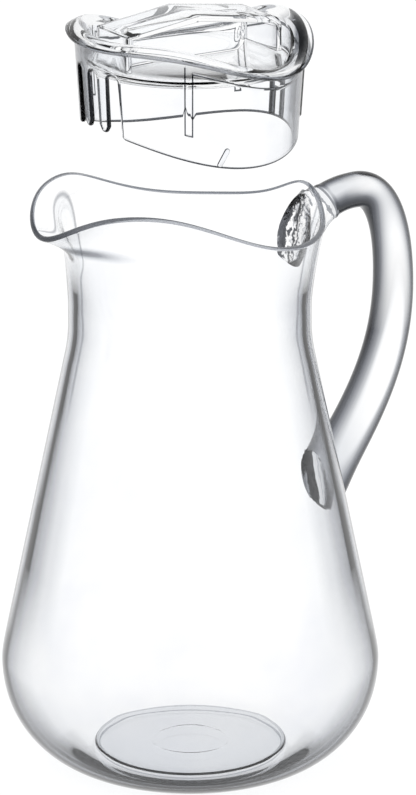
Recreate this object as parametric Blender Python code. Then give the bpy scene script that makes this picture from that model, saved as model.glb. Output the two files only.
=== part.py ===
# Clear plastic fridge jug: a waisted body with a wavy pouring rim, a solid rod handle
# and a push-in strainer lid, shown lifted out above the mouth.
# Metres, +Z up, the handle towards +X and the spout towards -X.
# The origin is the centre of the flat base that the jug stands on.

import math

import bmesh
import bpy
from mathutils import Vector
from mathutils.geometry import interpolate_bezier

MM = 0.001

# Jug body
BASE_RADIUS = 36.0 * MM
BASE_THICKNESS = 6.0 * MM
FLOOR_RADIUS = 38.4 * MM
FLOOR_STEP = 0.8 * MM
BELLY_RADIUS = 75.0 * MM
BELLY_HEIGHT = 42.0 * MM
SHOULDER_BEND = 25.0 * MM
NECK_RADIUS = 47.6 * MM
NECK_HEIGHT = 175.0 * MM
NECK_BEND = 100.0 * MM
WALL = 2.2 * MM

# Mouth: it opens from the neck to a rim that waves up and down and runs out into the spout
FLARE_HEIGHT = 190.0 * MM
RIM_HEIGHT = 227.3 * MM
RIM_FLARE = 3.3 * MM
HANDLE_FLARE = 3.9 * MM
HANDLE_FLARE_SPREAD = math.radians(36.0)
SPOUT_REACH = 17.9 * MM
SPOUT_SPREAD = math.radians(31.3)
RIM_TILT = 10.5 * MM
RIM_SADDLE = 1.6 * MM
RIM_WAVE = 2.7 * MM
RIM_RIPPLE = 1.1 * MM
HANDLE_RISE = 9.8 * MM
HANDLE_RISE_SPREAD = math.radians(19.0)
SPOUT_DIP = 10.4 * MM
SPOUT_DIP_SPREAD = math.radians(17.0)
FLARE_CURVE = 1.2
SPOUT_CURVE = 5.0
WAVE_CURVE = 1.6
FLARE_LEVELS = (0.22, 0.42, 0.58, 0.7, 0.8, 0.88, 0.94)

# Handle: a round rod bonded to the wall at a wide upper root and a slanted lower root
ROD_RADIUS = 8.1 * MM
CROWN_ROD_RADIUS = 7.1 * MM
FOOT_ROD_RADIUS = 9.7 * MM
HAND_SPACE = 39.6 * MM
UPPER_ROOT_HEIGHT = 207.0 * MM
UPPER_ROOT_RADIUS = 13.5 * MM
CROWN_HEIGHT = 223.0 * MM
CROWN_SETBACK = 18.3 * MM
REACH_HEIGHT = 183.0 * MM
LOWER_ROOT_HEIGHT = 100.0 * MM
LOWER_ROOT_RADIUS = 11.5 * MM
ROOT_DEPTH = 5.0 * MM
CROWN_SHARE = 0.2
REACH_SHARE = 0.47
ROOT_FLARE_SHARE = 0.075
BOND_GAP = 0.3 * MM

# Shares that set how far the rod's centre line runs on before it bends
ROOT_RUN_OUT = 0.45
ROOT_RUN_UP = 0.3
CROWN_RUN_BACK = 0.4
CROWN_RUN_AHEAD = 0.66
REACH_RUN_UP = 0.29
REACH_RUN_DOWN = 0.36
FOOT_RUN_OUT = 0.3
FOOT_RUN_UP = 0.37
PATH_STEPS = (12, 13, 19)

# Lid: heights are measured from the level of the flange's edge
LID_LIFT = 68.1 * MM
SKIRT_CLEARANCE = 0.4 * MM
SEAT_CLEARANCE = 0.4 * MM
FLANGE_OVERHANG = 2.4 * MM
FLANGE_WIDTH = 9.0 * MM
FLANGE_RISE = 2.4 * MM
FLANGE_LEAN = 0.8
FLANGE_STEPS = 8
FLANGE_DROP = 1.3 * MM
FLANGE_TILT = 2.8 * MM
FLANGE_SADDLE = 4.4 * MM
FLANGE_WAVE = 3.3 * MM
WELL_DEPTH = 7.0 * MM
COVER_WALL = 2.0 * MM

# Strainer skirt
SKIRT_DEPTH = 37.5 * MM
SKIRT_TAPER = 2.4 * MM
SKIRT_WALL = 2.0 * MM
SKIRT_TILT = 3.5 * MM
SKIRT_SADDLE = 4.5 * MM
SLOT_COUNT = 3
SLOT_WIDTH = 7.6 * MM
SLOT_PITCH = math.radians(15.5)
SLOT_TOP = 6.5 * MM
SLOT_SHARES = (-1.04, -0.99, -0.9, -0.6, 0.0, 0.6, 0.9, 0.99, 1.04)
BAND_HEIGHT = 3.0 * MM
RIB_PROUD = 0.6 * MM
RIB_WIDTH = 2.4 * MM
RIB_LENGTH = 28.0 * MM
BAND_END_ANGLE = math.radians(122.0)
SIDE_RIB_ANGLE = math.radians(31.0)
LUG_ANGLE = math.radians(5.0)
LUG_TOP = 18.0 * MM
FLANK = 0.6 * MM

# Grip over the finger well
GRIP_WIDTH = 23.0 * MM
GRIP_RISE = 12.0 * MM
GRIP_SPOUT_RISE = 7.5 * MM
GRIP_HANDLE_RISE = 7.0 * MM
GRIP_CREASE = -2.4 * MM
GRIP_THICKNESS = 2.4 * MM
WEB_THICKNESS = 3.0 * MM
WEB_START = -27.0 * MM
WEB_END = 24.0 * MM
WEB_CORNER = 5.0 * MM
JOIN_GAP = 0.3 * MM

# Faces round a turned piece, along a bend and round the rod
TURN_STEPS = 60
BOWL_STEPS = 7
BEND_STEPS = 4
SHOULDER_STEPS = 2
LIP_STEPS = 4
ROD_SIDES = 14
LEG_SHARE = 0.45
WELD = 0.01 * MM
SHARP_ANGLE = math.radians(35.0)
PLASTIC_IOR = 1.49

NECK_BORE = NECK_RADIUS - WALL
FLANGE_RADIUS = NECK_BORE + FLANGE_OVERHANG
WELL_RADIUS = FLANGE_RADIUS - FLANGE_WIDTH
SKIRT_RADIUS = NECK_BORE - SKIRT_CLEARANCE - RIB_PROUD
FLARE_RISE = RIM_HEIGHT - FLARE_HEIGHT


def bell(angle, spread):
    return math.exp(-((angle / spread) ** 2))


def rim_wave(angle):
    # Peaks at the handle and either side of the spout, valleys between them and a dip at the spout's lip.
    return (
        -RIM_TILT * math.cos(angle)
        + RIM_SADDLE * math.cos(2 * angle)
        + RIM_WAVE * math.cos(3 * angle)
        - RIM_RIPPLE * math.cos(4 * angle)
        + HANDLE_RISE * bell(angle, HANDLE_RISE_SPREAD)
        - SPOUT_DIP * bell(math.pi - abs(angle), SPOUT_DIP_SPREAD)
    )


def mouth_shift(angle, rise):
    # How far the wall moves out and up at a share of the way from neck to rim.
    plain = RIM_FLARE + HANDLE_FLARE * bell(angle, HANDLE_FLARE_SPREAD)
    spout = SPOUT_REACH * bell(math.pi - abs(angle), SPOUT_SPREAD)
    outward = plain * rise**FLARE_CURVE + spout * rise**SPOUT_CURVE
    return outward, rim_wave(angle) * rise**WAVE_CURVE


def open_mouth(bm):
    for vert in bm.verts:
        x, y, z = vert.co
        if z <= FLARE_HEIGHT:
            continue
        angle = math.atan2(y, x)
        outward, upward = mouth_shift(angle, (z - FLARE_HEIGHT) / FLARE_RISE)
        radius = math.hypot(x, y)
        if radius > WALL:
            scale = (radius + outward) / radius
            vert.co.x = x * scale
            vert.co.y = y * scale
        vert.co.z = z + upward


def flange_wave(angle):
    # The lid's edge lifts over the spout and dips beside it.
    return (
        -FLANGE_TILT * math.cos(angle)
        + FLANGE_SADDLE * math.cos(2 * angle)
        + FLANGE_WAVE * math.cos(3 * angle)
    )


def seat_height(angle):
    # The height at which the mouth is just wide enough for the flange.
    low, high = 0.0, 1.0
    for _ in range(30):
        rise = (low + high) / 2
        if NECK_BORE + mouth_shift(angle, rise)[0] > FLANGE_RADIUS + SEAT_CLEARANCE:
            high = rise
        else:
            low = rise
    return FLARE_HEIGHT + high * FLARE_RISE + mouth_shift(angle, high)[1]


def lid_seat():
    turns = [math.tau * step / TURN_STEPS - math.pi for step in range(TURN_STEPS)]
    return FLANGE_DROP + max(seat_height(angle) - flange_wave(angle) for angle in turns)


def bend(before, corner, after, radius, steps=BEND_STEPS):
    # Points of an arc that rounds a corner, no longer than its two legs allow.
    corner = Vector(corner)
    back = Vector(before) - corner
    ahead = Vector(after) - corner
    half = back.angle(ahead) / 2
    reach = min(radius / math.tan(half), LEG_SHARE * min(back.length, ahead.length))
    radius = reach * math.tan(half)
    centre = corner + (back.normalized() + ahead.normalized()).normalized() * (radius / math.sin(half))
    start = corner + back.normalized() * reach - centre
    end = corner + ahead.normalized() * reach - centre
    sweep = start.angle_signed(end)
    points = []
    for step in range(steps + 1):
        turn = -sweep * step / steps
        x = start.x * math.cos(turn) - start.y * math.sin(turn)
        y = start.x * math.sin(turn) + start.y * math.cos(turn)
        points.append((centre.x + x, centre.y + y))
    return points


def wall_outline(inset, flat_radius, flat_height):
    # One side of the wall from the flat bottom to the start of the flare.
    belly = BELLY_RADIUS - inset
    neck = NECK_RADIUS - inset
    points = []
    for step in range(BOWL_STEPS + 1):
        turn = math.pi / 2 * step / BOWL_STEPS
        radius = flat_radius + (belly - flat_radius) * math.sin(turn)
        height = flat_height + (BELLY_HEIGHT - flat_height) * (1 - math.cos(turn))
        points.append((radius, height))
    drop = math.atan2(BELLY_RADIUS - NECK_RADIUS, NECK_HEIGHT - BELLY_HEIGHT)
    shoulder = (belly, BELLY_HEIGHT + SHOULDER_BEND * math.tan(drop / 2))
    throat = (neck, NECK_HEIGHT)
    flare = (neck, FLARE_HEIGHT)
    points += bend(points[-1], shoulder, throat, SHOULDER_BEND, SHOULDER_STEPS)
    points += bend(shoulder, throat, flare, NECK_BEND)
    return points + [flare]


def mouth_outline(radius, top):
    # Levels of the flare, closer together towards the rim.
    return [(radius, FLARE_HEIGHT + level * (top - FLARE_HEIGHT)) for level in FLARE_LEVELS]


def lip_outline():
    # Half-round edge of the rim, from the outside over to the inside.
    middle = NECK_RADIUS - WALL / 2
    centre = RIM_HEIGHT - WALL / 2
    turns = [math.pi * step / LIP_STEPS for step in range(LIP_STEPS + 1)]
    return [(middle + WALL / 2 * math.cos(t), centre + WALL / 2 * math.sin(t)) for t in turns]


def turned(outline):
    # Turn a half outline of (radius, height) points once round Z.
    bm = bmesh.new()
    verts = [bm.verts.new((radius, 0, height)) for radius, height in outline]
    edges = [bm.edges.new(pair) for pair in zip(verts, verts[1:])]
    bmesh.ops.spin(
        bm,
        geom=verts + edges,
        cent=(0, 0, 0),
        axis=(0, 0, 1),
        angle=math.tau,
        steps=TURN_STEPS,
        use_merge=True,
    )
    bmesh.ops.remove_doubles(bm, verts=bm.verts, dist=WELD)
    bmesh.ops.recalc_face_normals(bm, faces=bm.faces)
    return bm


def extruded(outline, width):
    # Push a side outline of (x, z) points out to both sides of the XZ plane.
    bm = bmesh.new()
    face = bm.faces.new([bm.verts.new((x, -width / 2, z)) for x, z in outline])
    grown = bmesh.ops.extrude_face_region(bm, geom=[face])["geom"]
    verts = [item for item in grown if isinstance(item, bmesh.types.BMVert)]
    bmesh.ops.translate(bm, verts=verts, vec=(0, width, 0))
    bmesh.ops.recalc_face_normals(bm, faces=bm.faces)
    return bm


def finished(name, bm, material, parent=None):
    mesh = bpy.data.meshes.new(name)
    bm.to_mesh(mesh)
    bm.free()
    mesh.shade_smooth()
    mesh.set_sharp_from_angle(angle=SHARP_ANGLE)
    piece = bpy.data.objects.new(name, mesh)
    bpy.context.scene.collection.objects.link(piece)
    if material:
        mesh.materials.append(material)
    piece.parent = parent
    return piece


def combined(piece, tool, operation):
    # Keep the tool as a hidden wire guide that the piece is cut by or joined with.
    tool.hide_render = True
    tool.display_type = "WIRE"
    modifier = piece.modifiers.new(operation.lower(), "BOOLEAN")
    modifier.operation = operation
    modifier.object = tool
    modifier.solver = "EXACT"


def clear_plastic(name, colour, roughness):
    material = bpy.data.materials.new(name)
    material.use_nodes = True
    shader = material.node_tree.nodes["Principled BSDF"]
    shader.inputs["Base Color"].default_value = (*colour, 1.0)
    shader.inputs["Roughness"].default_value = roughness
    shader.inputs["Metallic"].default_value = 0.0
    shader.inputs["IOR"].default_value = PLASTIC_IOR
    shader.inputs["Transmission Weight"].default_value = 1.0
    return material


def make_jug_body():
    outside = wall_outline(0.0, BASE_RADIUS, 0.0)
    floor_edge = (FLOOR_RADIUS, BASE_THICKNESS - FLOOR_STEP)
    inside = wall_outline(WALL, *floor_edge)
    outline = [(0.0, 0.0)] + outside
    outline += mouth_outline(NECK_RADIUS, RIM_HEIGHT - WALL / 2)
    outline += lip_outline()
    outline += reversed(mouth_outline(NECK_BORE, RIM_HEIGHT - WALL / 2))
    outline += reversed(inside)
    outline += [(FLOOR_RADIUS - FLOOR_STEP, BASE_THICKNESS), (0.0, BASE_THICKNESS)]
    bm = turned(outline)
    open_mouth(bm)
    return finished("jug_body", bm, clear_plastic("clear_body", (0.93, 0.95, 0.96), 0.04))


def make_wall_guide():
    # The outside of the jug, grown by the bond gap, which shapes the handle's roots.
    grown = wall_outline(-BOND_GAP, BASE_RADIUS, -BOND_GAP)
    outline = [(0.0, -BOND_GAP)] + grown
    outline += mouth_outline(NECK_RADIUS + BOND_GAP, RIM_HEIGHT)
    outline += [(NECK_RADIUS + BOND_GAP, RIM_HEIGHT), (0.0, RIM_HEIGHT)]
    bm = turned(outline)
    open_mouth(bm)
    return finished("wall_guide", bm, None)


def shoulder_radius(height):
    # Outer radius of the sloping wall between belly and neck.
    share = (height - BELLY_HEIGHT) / (NECK_HEIGHT - BELLY_HEIGHT)
    return BELLY_RADIUS + (NECK_RADIUS - BELLY_RADIUS) * share


def handle_path():
    # Centre line of the rod in the XZ plane, from the upper root to the lower one.
    reach = NECK_RADIUS + HAND_SPACE + ROD_RADIUS
    upper = Vector((NECK_RADIUS - ROOT_DEPTH, 0, UPPER_ROOT_HEIGHT))
    crown = Vector((reach - CROWN_SETBACK, 0, CROWN_HEIGHT))
    outer = Vector((reach, 0, REACH_HEIGHT))
    lower = Vector((shoulder_radius(LOWER_ROOT_HEIGHT) - ROOT_DEPTH, 0, LOWER_ROOT_HEIGHT))
    run = crown.x - upper.x
    drop = outer.z - lower.z
    root_run = Vector((run * ROOT_RUN_OUT, 0, run * ROOT_RUN_UP))
    crown_back = Vector((run * CROWN_RUN_BACK, 0, 0))
    crown_ahead = Vector((CROWN_SETBACK * CROWN_RUN_AHEAD, 0, 0))
    reach_up = Vector((0, 0, drop * REACH_RUN_UP))
    reach_down = Vector((0, 0, drop * REACH_RUN_DOWN))
    foot_run = Vector((drop * FOOT_RUN_OUT, 0, drop * FOOT_RUN_UP))
    arms = [
        (upper, upper + root_run, crown - crown_back, crown),
        (crown, crown + crown_ahead, outer + reach_up, outer),
        (outer, outer - reach_down, lower + foot_run, lower),
    ]
    points = []
    for arm, count in zip(arms, PATH_STEPS):
        points += interpolate_bezier(*arm, count)[:-1]
    return points + [lower]


def rod_radius(share):
    # The rod thickens from its crown downwards and flares at both roots.
    crown, reach = CROWN_SHARE, REACH_SHARE
    above = min(1.0, max(0.0, (share - crown) / (reach - crown)))
    below = max(0.0, (share - reach) / (1 - reach))
    body = CROWN_ROD_RADIUS + (ROD_RADIUS - CROWN_ROD_RADIUS) * above
    body += (FOOT_ROD_RADIUS - ROD_RADIUS) * below
    upper = (UPPER_ROOT_RADIUS - CROWN_ROD_RADIUS) * bell(share, ROOT_FLARE_SHARE)
    lower = (LOWER_ROOT_RADIUS - FOOT_ROD_RADIUS) * bell(1 - share, ROOT_FLARE_SHARE)
    return body + upper + lower


def make_handle(guide):
    points = handle_path()
    steps = [(b - a).length for a, b in zip(points, points[1:])]
    bm = bmesh.new()
    rings = []
    travelled = 0.0
    for index, point in enumerate(points):
        ahead = points[min(index + 1, len(points) - 1)] - points[max(index - 1, 0)]
        across = Vector((-ahead.z, 0, ahead.x)).normalized()
        radius = rod_radius(travelled / sum(steps))
        ring = []
        for side in range(ROD_SIDES):
            turn = math.tau * (side + 0.5) / ROD_SIDES
            offset = across * math.cos(turn) + Vector((0, 1, 0)) * math.sin(turn)
            ring.append(bm.verts.new(point + offset * radius))
        rings.append(ring)
        if index < len(steps):
            travelled += steps[index]
    for ring, following in zip(rings, rings[1:]):
        for side in range(ROD_SIDES):
            turn = (side + 1) % ROD_SIDES
            bm.faces.new((ring[side], ring[turn], following[turn], following[side]))
    bm.faces.new(rings[0])
    bm.faces.new(rings[-1])
    bmesh.ops.recalc_face_normals(bm, faces=bm.faces)
    handle = finished("handle", bm, clear_plastic("clear_rod", (0.86, 0.88, 0.9), 0.05))
    combined(handle, guide, "DIFFERENCE")
    return handle


def make_lid_cover(lid):
    # A flange with a domed top round a shallow closed well.
    floor = -WELL_DEPTH
    inner = WELL_RADIUS
    edge = FLANGE_RADIUS
    dome = []
    for step in range(FLANGE_STEPS + 1):
        share = step / FLANGE_STEPS
        rise = FLANGE_RISE * math.sin(math.pi * share**FLANGE_LEAN)
        dome.append((inner + (edge - inner) * share, rise))
    wall = inner + COVER_WALL
    under = floor - COVER_WALL
    outline = [(0.0, floor), (inner - COVER_WALL, floor), (inner - COVER_WALL / 3, floor + COVER_WALL / 3)]
    outline += dome
    outline += [(edge, -FLANGE_DROP / 2), (edge - FLANGE_DROP / 2, -FLANGE_DROP), (wall, -FLANGE_DROP)]
    outline += [(wall, floor), (wall - COVER_WALL / 2, under), (0.0, under)]
    bm = turned(outline)
    for vert in bm.verts:
        share = (vert.co.z - floor) / (-FLANGE_DROP - floor)
        vert.co.z += flange_wave(math.atan2(vert.co.y, vert.co.x)) * min(1.0, max(0.0, share))
    return finished("lid_cover", bm, clear_plastic("clear_cover", (0.92, 0.94, 0.95), 0.04), lid)


def slot_angles():
    return [math.pi + SLOT_PITCH * (index - (SLOT_COUNT - 1) / 2) for index in range(SLOT_COUNT)]


def rib_angles():
    return [BAND_END_ANGLE, -BAND_END_ANGLE, SIDE_RIB_ANGLE, -SIDE_RIB_ANGLE]


def turn_between(angle, other):
    return math.remainder(angle - other, math.tau)


def skirt_columns():
    # Angles round the skirt: an even turn, plus the edges of every rib, lug and slot.
    rib = RIB_WIDTH / SKIRT_RADIUS / 2
    flank = FLANK / SKIRT_RADIUS
    half_slot = SLOT_WIDTH / SKIRT_RADIUS / 2
    marked = []
    for centre in rib_angles() + [LUG_ANGLE, -LUG_ANGLE]:
        marked += [centre + side * width for side in (-1, 1) for width in (rib, rib + flank)]
    for centre in slot_angles():
        marked += [centre + half_slot * share for share in SLOT_SHARES]
    plain = [math.tau * step / TURN_STEPS for step in range(TURN_STEPS)]
    near = math.tau / TURN_STEPS / 3
    clear = [a for a in plain if all(abs(turn_between(a, m)) > near for m in marked)]
    return sorted(angle % math.tau for angle in clear + marked)


def slot_cut(angle):
    # Depth at which the skirt ends inside a slot, or none beside the slots.
    half_slot = SLOT_WIDTH / SKIRT_RADIUS / 2
    for centre in slot_angles():
        share = abs(turn_between(angle, centre)) / half_slot
        if share < 1:
            return SLOT_TOP + SLOT_WIDTH / 2 * (1 - math.sqrt(1 - share * share))
    return None


def proud(angle, level):
    # How far the outside stands out: band and ribs at the top level, then ribs, then lugs.
    rib = (RIB_WIDTH / 2 + WELD) / SKIRT_RADIUS
    ribs = rib_angles()
    lugs = [LUG_ANGLE, -LUG_ANGLE]
    if level == "band" and abs(turn_between(angle, 0.0)) < BAND_END_ANGLE + rib:
        return RIB_PROUD
    raised = {"band": ribs, "rib": ribs, "lug": ribs + lugs, "foot": lugs, "plain": []}[level]
    return RIB_PROUD if any(abs(turn_between(angle, centre)) < rib for centre in raised) else 0.0


def make_lid_strainer(lid):
    # A tapered skirt, raised in a band and ribs outside and slotted up from its lower edge.
    top = -FLANGE_DROP - JOIN_GAP
    levels = [
        (0.0, "band"),
        (BAND_HEIGHT, "band"),
        (BAND_HEIGHT + FLANK, "rib"),
        (LUG_TOP - FLANK, "rib"),
        (LUG_TOP, "lug"),
        (RIB_LENGTH - FLANK, "lug"),
        (RIB_LENGTH, "foot"),
    ]
    bm = bmesh.new()
    loops = []
    for angle in skirt_columns():
        upper = top + flange_wave(angle)
        lower = -SKIRT_DEPTH - SKIRT_TILT * math.cos(angle) + SKIRT_SADDLE * math.cos(2 * angle)
        cut = slot_cut(angle)
        squeeze = 1.0 if cut is None else (upper + cut) / (upper - lower)
        points = []
        for depth, level in levels + [(upper - lower, "foot")]:
            height = upper - depth * squeeze
            radius = SKIRT_RADIUS + SKIRT_TAPER * height / SKIRT_DEPTH
            points.append((radius + proud(angle, level), height))
        for height in (upper - (upper - lower) * squeeze, upper):
            points.append((SKIRT_RADIUS + SKIRT_TAPER * height / SKIRT_DEPTH - SKIRT_WALL, height))
        turn = (math.cos(angle), math.sin(angle))
        loops.append([bm.verts.new((r * turn[0], r * turn[1], z)) for r, z in points])
    for loop, following in zip(loops, loops[1:] + loops[:1]):
        for index in range(len(loop)):
            after = (index + 1) % len(loop)
            bm.faces.new((loop[index], loop[after], following[after], following[index]))
    bmesh.ops.recalc_face_normals(bm, faces=bm.faces)
    return finished("lid_strainer", bm, clear_plastic("clear_strainer", (0.92, 0.94, 0.95), 0.04), lid)


def make_lid_grip(lid):
    # A strap that rises to a crease, runs level over the well and stands on its floor, on a central web.
    foot = -WELL_DEPTH + JOIN_GAP
    end = math.sqrt((WELL_RADIUS - COVER_WALL - JOIN_GAP) ** 2 - (GRIP_WIDTH / 2) ** 2)
    thick = GRIP_THICKNESS
    outside = [(-end, foot), (-end, GRIP_SPOUT_RISE), (GRIP_CREASE, GRIP_RISE)]
    outside += bend((GRIP_CREASE, GRIP_RISE), (end, GRIP_HANDLE_RISE), (end, foot), 2 * thick)
    outside += [(end, foot)]
    under_crease = (GRIP_CREASE, GRIP_RISE - thick)
    inside = [(end - thick, foot)]
    inside += bend(inside[0], (end - thick, GRIP_HANDLE_RISE - thick), under_crease, thick)
    inside += [under_crease, (thick - end, GRIP_SPOUT_RISE - thick / 2), (thick - end, foot)]
    material = clear_plastic("clear_grip", (0.9, 0.92, 0.94), 0.04)
    grip = finished("lid_grip", extruded(outside + inside, GRIP_WIDTH), material, lid)
    rising = (GRIP_RISE - GRIP_SPOUT_RISE) / (GRIP_CREASE + end)
    falling = (GRIP_HANDLE_RISE - GRIP_RISE) / (end - GRIP_CREASE)
    start_top = GRIP_SPOUT_RISE + rising * (WEB_START + end) - thick / 2
    end_top = GRIP_RISE + falling * (WEB_END - GRIP_CREASE) - thick / 2
    web = [(WEB_START, start_top), (GRIP_CREASE, GRIP_RISE - thick / 2), (WEB_END, end_top)]
    web += bend((WEB_END, end_top), (WEB_END, foot), (WEB_START, foot), WEB_CORNER)
    web += [(WEB_START, foot)]
    combined(grip, finished("web_guide", extruded(web, WEB_THICKNESS), None, lid), "UNION")
    return grip


def main():
    for old in list(bpy.data.objects):
        bpy.data.objects.remove(old, do_unlink=True)
    make_jug_body()
    make_handle(make_wall_guide())
    lid = bpy.data.objects.new("lid_lift", None)
    bpy.context.scene.collection.objects.link(lid)
    lid.location.z = lid_seat() + LID_LIFT
    make_lid_cover(lid)
    make_lid_strainer(lid)
    make_lid_grip(lid)


main()
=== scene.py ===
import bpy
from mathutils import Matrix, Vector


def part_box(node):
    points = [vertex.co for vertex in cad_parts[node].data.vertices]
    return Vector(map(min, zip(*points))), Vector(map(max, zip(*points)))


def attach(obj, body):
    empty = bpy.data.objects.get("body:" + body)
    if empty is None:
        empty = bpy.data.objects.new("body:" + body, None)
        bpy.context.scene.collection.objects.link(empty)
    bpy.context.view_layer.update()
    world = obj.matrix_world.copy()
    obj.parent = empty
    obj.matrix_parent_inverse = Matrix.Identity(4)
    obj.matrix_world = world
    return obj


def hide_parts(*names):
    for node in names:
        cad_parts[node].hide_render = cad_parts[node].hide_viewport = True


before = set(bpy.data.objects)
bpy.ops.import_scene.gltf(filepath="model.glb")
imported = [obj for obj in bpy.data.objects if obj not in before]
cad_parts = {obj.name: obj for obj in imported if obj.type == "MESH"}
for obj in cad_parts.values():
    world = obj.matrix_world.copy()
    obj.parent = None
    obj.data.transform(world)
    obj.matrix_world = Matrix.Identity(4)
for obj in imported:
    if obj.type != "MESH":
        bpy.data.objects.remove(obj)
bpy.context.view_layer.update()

import math

import bmesh
import bpy
from mathutils import Matrix, Vector, noise
from mathutils.geometry import interpolate_bezier

# A clear plastic fridge jug with its strainer lid lifted out above the mouth.
# Outlines are drawn in millimetres and scaled to metres when a piece is finished.
# The handle is towards +X, the spout towards -X, and the jug stands on z = 0.
mm = 0.001
hair = 0.01  # millimetres, less than any step of an outline


def bell(value, spread):
    return math.exp(-((value / spread) ** 2))


def smoothStep(low, high, value):
    share = min(1.0, max(0.0, (value - low) / (high - low)))
    return share * share * (3 - 2 * share)


# Colours are written as sRGB hex, the shader sockets take linear light
def linear(hexColour):
    channels = [int(hexColour[i:i + 2], 16) / 255 for i in (0, 2, 4)]
    return [c / 12.92 if c <= 0.04045 else ((c + 0.055) / 1.055) ** 2.4 for c in channels] + [1.0]


def addNode(tree, kind, settings=None, links=None):
    node = tree.nodes.new("ShaderNode" + kind)
    for key, value in (settings or {}).items():
        if isinstance(key, int) or key in node.inputs:
            node.inputs[key].default_value = value
        else:
            setattr(node, key, value)
    for key, socket in (links or {}).items():
        tree.links.new(socket, node.inputs[key])
    return node


def newMaterial(name):
    material = bpy.data.materials.new(name)
    material.use_nodes = True
    material.node_tree.nodes.clear()
    return material, material.node_tree


def rampStops(node, stops):
    ramp = node.color_ramp
    while len(ramp.elements) < len(stops):
        ramp.elements.new(0.5)
    for element, (place, colour) in zip(ramp.elements, stops):
        element.position = place
        element.color = linear(colour)


# What the plastic's finishes share unless they say otherwise, with sizes in millimetres
polished = {
    "fade": [(0.0, "FFFFFF"), (1.0, "FFFFFF")], "zones": [], "bothWays": False, "clear": 1.0, "ior": 1.5,
    "rough": 0.012, "rippleSize": 22.0, "rippleHeight": 0.02, "gloss": "404040", "shadowHex": "F0F2F4",
}
# An edge is less polished, with shorter ripples
edged = {"rough": 0.03, "rippleSize": 8.0}
# Where the rod is fused to the wall, no light is thrown back
fused = {"rough": 0.0, "gloss": "000000"}


# The surface's direction for the fade leans, so that the painted shade lies more on the side towards the jug
# than on the outer side
def leaningNormal(tree, coords, shape, lean):
    away = addNode(
        tree, "VectorMath", {"operation": "SUBTRACT", 1: Vector(lean["centre"]) * mm},
        {0: coords.outputs["Object"]},
    )
    way = addNode(tree, "VectorMath", {"operation": "NORMALIZE"}, {0: away.outputs["Vector"]})
    part = addNode(
        tree, "VectorMath", {"operation": "SCALE", "Scale": lean["share"]}, {0: way.outputs["Vector"]}
    )
    turned = addNode(
        tree, "VectorMath", {"operation": "ADD"}, {0: shape.outputs["Normal"], 1: part.outputs["Vector"]}
    )
    unit = addNode(tree, "VectorMath", {"operation": "NORMALIZE"}, {0: turned.outputs["Vector"]})
    return unit.outputs["Vector"]


# Painted shade that differs from place to place: along an axis, a zone's own fade takes over
def zonedColour(tree, place, glance, colour, zone):
    local = addNode(tree, "ValToRGB", None, {"Fac": glance})
    rampStops(local, zone["fade"])
    share = addNode(
        tree, "MapRange", {"From Min": zone["from"] * mm, "From Max": zone["to"] * mm},
        {"Value": place.outputs[zone["axis"]]},
    )
    mixed = addNode(
        tree, "Mix", {"data_type": "RGBA"},
        {0: share.outputs["Result"], 6: colour, 7: local.outputs["Color"]},
    )
    return mixed.outputs[2]


# Painted shade along the fold under each side of the spout, laid on as the light enters
def paintedCreaseShade(tree, place, entering, crease):
    sideways = addNode(tree, "Math", {"operation": "ABSOLUTE"}, {0: place.outputs["Y"]})
    mirrored = addNode(
        tree, "CombineXYZ", None,
        {"X": place.outputs["X"], "Y": sideways.outputs["Value"], "Z": place.outputs["Z"]},
    )
    local = addNode(
        tree, "Mapping",
        {
            "vector_type": "TEXTURE", "Location": Vector(crease["centre"]) * mm,
            "Rotation": (0.0, 0.0, crease["turn"]), "Scale": Vector(crease["reach"]) * mm,
        },
        {"Vector": mirrored.outputs["Vector"]},
    )
    ball = addNode(tree, "TexGradient", {"gradient_type": "SPHERICAL"}, {"Vector": local.outputs["Vector"]})
    seen = addNode(tree, "Math", {"operation": "MULTIPLY"}, {0: ball.outputs["Fac"], 1: entering})
    thick = addNode(tree, "ValToRGB", None, {"Fac": seen.outputs["Value"]})
    rampStops(thick, crease["fade"])
    return thick.outputs["Color"]


# Painted shade across the bond: dark strips between clear ones, wandering by a few millimetres
def paintedFoldShade(tree, coords, place, paintedFolds):
    wander = addNode(
        tree, "TexNoise", {"Scale": 1 / (paintedFolds["size"] * mm), "Detail": 3.0, "Roughness": 0.6},
        {"Vector": coords.outputs["Object"]},
    )
    moved = addNode(
        tree, "Math", {"operation": "MULTIPLY_ADD", 1: paintedFolds["wander"] * mm},
        {0: wander.outputs["Fac"], 2: place.outputs["Y"]},
    )
    reach, middle = paintedFolds["reach"] * mm, paintedFolds["wander"] * mm / 2
    across = addNode(
        tree, "MapRange", {"From Min": middle - reach, "From Max": middle + reach},
        {"Value": moved.outputs["Value"]},
    )
    strips = addNode(tree, "ValToRGB", None, {"Fac": across.outputs["Result"]})
    rampStops(strips, paintedFolds["strips"])
    return strips.outputs["Color"]


# Patches of the wall are a little less clear
def cloudedColour(tree, coords, colour, cloud):
    haze = addNode(
        tree, "TexNoise", {"Scale": 1 / (cloud["size"] * mm), "Detail": 3.0, "Roughness": 0.55},
        {"Vector": coords.outputs["Object"]},
    )
    patch = addNode(tree, "MapRange", {"From Min": 0.45, "From Max": 0.75}, {"Value": haze.outputs["Fac"]})
    dimmed = addNode(
        tree, "Mix", {"data_type": "RGBA", "blend_type": "MULTIPLY", 7: linear(cloud["hex"])},
        {0: patch.outputs["Result"], 6: colour},
    )
    return dimmed.outputs[2]
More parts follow.
